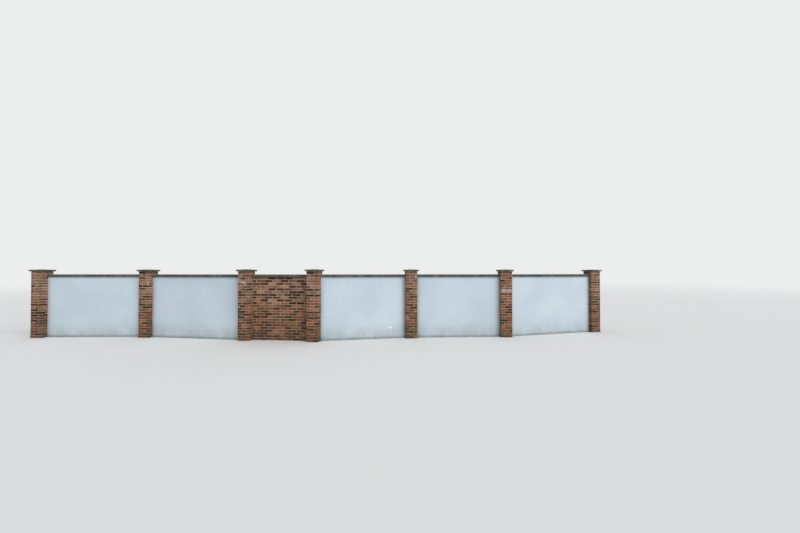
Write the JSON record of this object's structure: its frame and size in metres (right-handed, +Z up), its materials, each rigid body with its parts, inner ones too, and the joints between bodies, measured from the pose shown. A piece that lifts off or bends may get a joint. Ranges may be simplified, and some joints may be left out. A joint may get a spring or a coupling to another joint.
{
  "type": "brick garden wall",
  "caption": "Free-standing garden wall in bays that turn at square brick piers, with rendered panels and a brick panel between them, under weathered concrete copings and pier caps.",
  "frame": {"origin": "middle of the base of pier 4, at ground level", "axes": "+X to the right along the wall as seen from the garden, +Y away from the garden, +Z up"},
  "size_m": [16.6824, 2.0768, 1.932],
  "materials": {
    "facing_brick": "multi red stock facing brick, fired matt",
    "mortar": "buff sand and cement mortar, recessed and weathered",
    "blockwork": "dense concrete blockwork behind the render",
    "white_render": "smooth masonry render painted off-white, matt",
    "concrete_slab": "dark grey cast concrete, matt, with algae"
  },
  "bodies": {
    "root": {"pier_1": "facing_brick", "pier_2": "facing_brick", "pier_3": "facing_brick", "pier_4": "facing_brick", "pier_5": "facing_brick", "pier_6": "facing_brick", "pier_7": "facing_brick", "pier_cap_1": "concrete_slab", "pier_cap_2": "concrete_slab", "pier_cap_3": "concrete_slab", "pier_cap_4": "concrete_slab", "pier_cap_5": "concrete_slab", "pier_cap_6": "concrete_slab", "pier_cap_7": "concrete_slab", "block_wall_1": "blockwork", "block_wall_2": "blockwork", "block_wall_4": "blockwork", "block_wall_5": "blockwork", "block_wall_6": "blockwork", "brick_wall_3": "facing_brick", "render_front_1": "white_render", "render_front_2": "white_render", "render_front_4": "white_render", "render_front_5": "white_render", "render_front_6": "white_render", "render_back_1": "white_render", "render_back_2": "white_render", "render_back_4": "white_render", "render_back_5": "white_render", "render_back_6": "white_render", "coping_1": "concrete_slab", "coping_2": "concrete_slab", "coping_3": "concrete_slab", "coping_4": "concrete_slab", "coping_5": "concrete_slab", "coping_6": "concrete_slab"}
  },
  "joints": []
}
